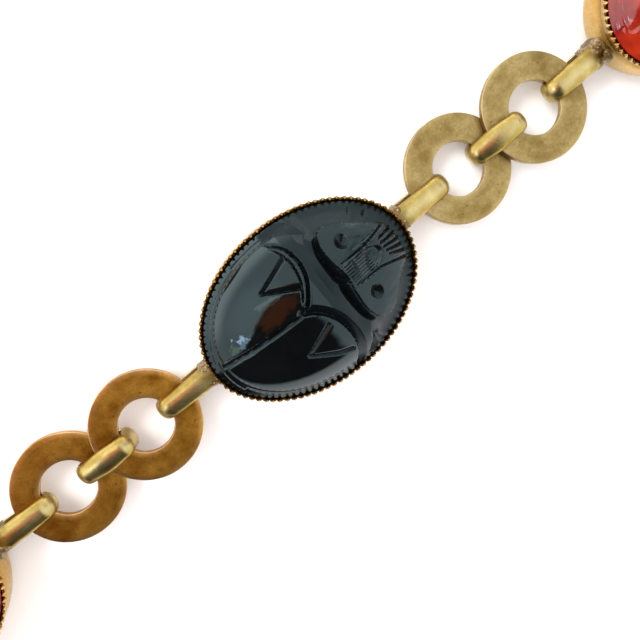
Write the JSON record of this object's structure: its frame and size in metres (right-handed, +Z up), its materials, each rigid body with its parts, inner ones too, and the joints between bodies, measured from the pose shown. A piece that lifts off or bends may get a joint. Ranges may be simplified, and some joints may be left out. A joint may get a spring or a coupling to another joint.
{
  "type": "scarab bracelet",
  "caption": "Link bracelet of carved glass scarabs in toothed brass settings, joined by lapped flat rings and oval links, closed and lying flat.",
  "frame": {"origin": "centre of the flat back of the black scarab's cup, on the surface that the bracelet lies on", "axes": "+X along the chain towards the black scarab's head, +Y into the loop, +Z up out of the stones"},
  "size_m": [0.095, 0.0423, 0.0063],
  "materials": {
    "setting_brass": "aged polished brass",
    "link_brass": "polished brass",
    "olive_ring_brass": "satin olive patina",
    "red_ring_brass": "satin red-brown patina",
    "black_glass": "gloss, carved",
    "carnelian_glass": "gloss, carved"
  },
  "bodies": {
    "root": {"setting_1": "setting_brass", "scarab_stone_1": "black_glass", "lower_ring_1": "olive_ring_brass", "upper_ring_1": "olive_ring_brass", "oval_link_1": "link_brass", "setting_2": "setting_brass", "scarab_stone_2": "carnelian_glass", "lower_ring_2": "olive_ring_brass", "upper_ring_2": "olive_ring_brass", "oval_link_2": "link_brass", "setting_3": "setting_brass", "scarab_stone_3": "black_glass", "lower_ring_3": "olive_ring_brass", "upper_ring_3": "olive_ring_brass", "oval_link_3": "link_brass", "setting_4": "setting_brass", "scarab_stone_4": "carnelian_glass", "lower_ring_4": "olive_ring_brass", "upper_ring_4": "olive_ring_brass", "clasp": "link_brass", "setting_5": "setting_brass", "scarab_stone_5": "carnelian_glass", "lower_ring_5": "red_ring_brass", "upper_ring_5": "red_ring_brass", "oval_link_5": "link_brass", "setting_6": "setting_brass", "scarab_stone_6": "black_glass", "lower_ring_6": "red_ring_brass", "upper_ring_6": "red_ring_brass", "oval_link_6": "link_brass", "setting_7": "setting_brass", "scarab_stone_7": "carnelian_glass", "lower_ring_7": "red_ring_brass", "upper_ring_7": "red_ring_brass", "oval_link_7": "link_brass"}
  },
  "joints": []
}
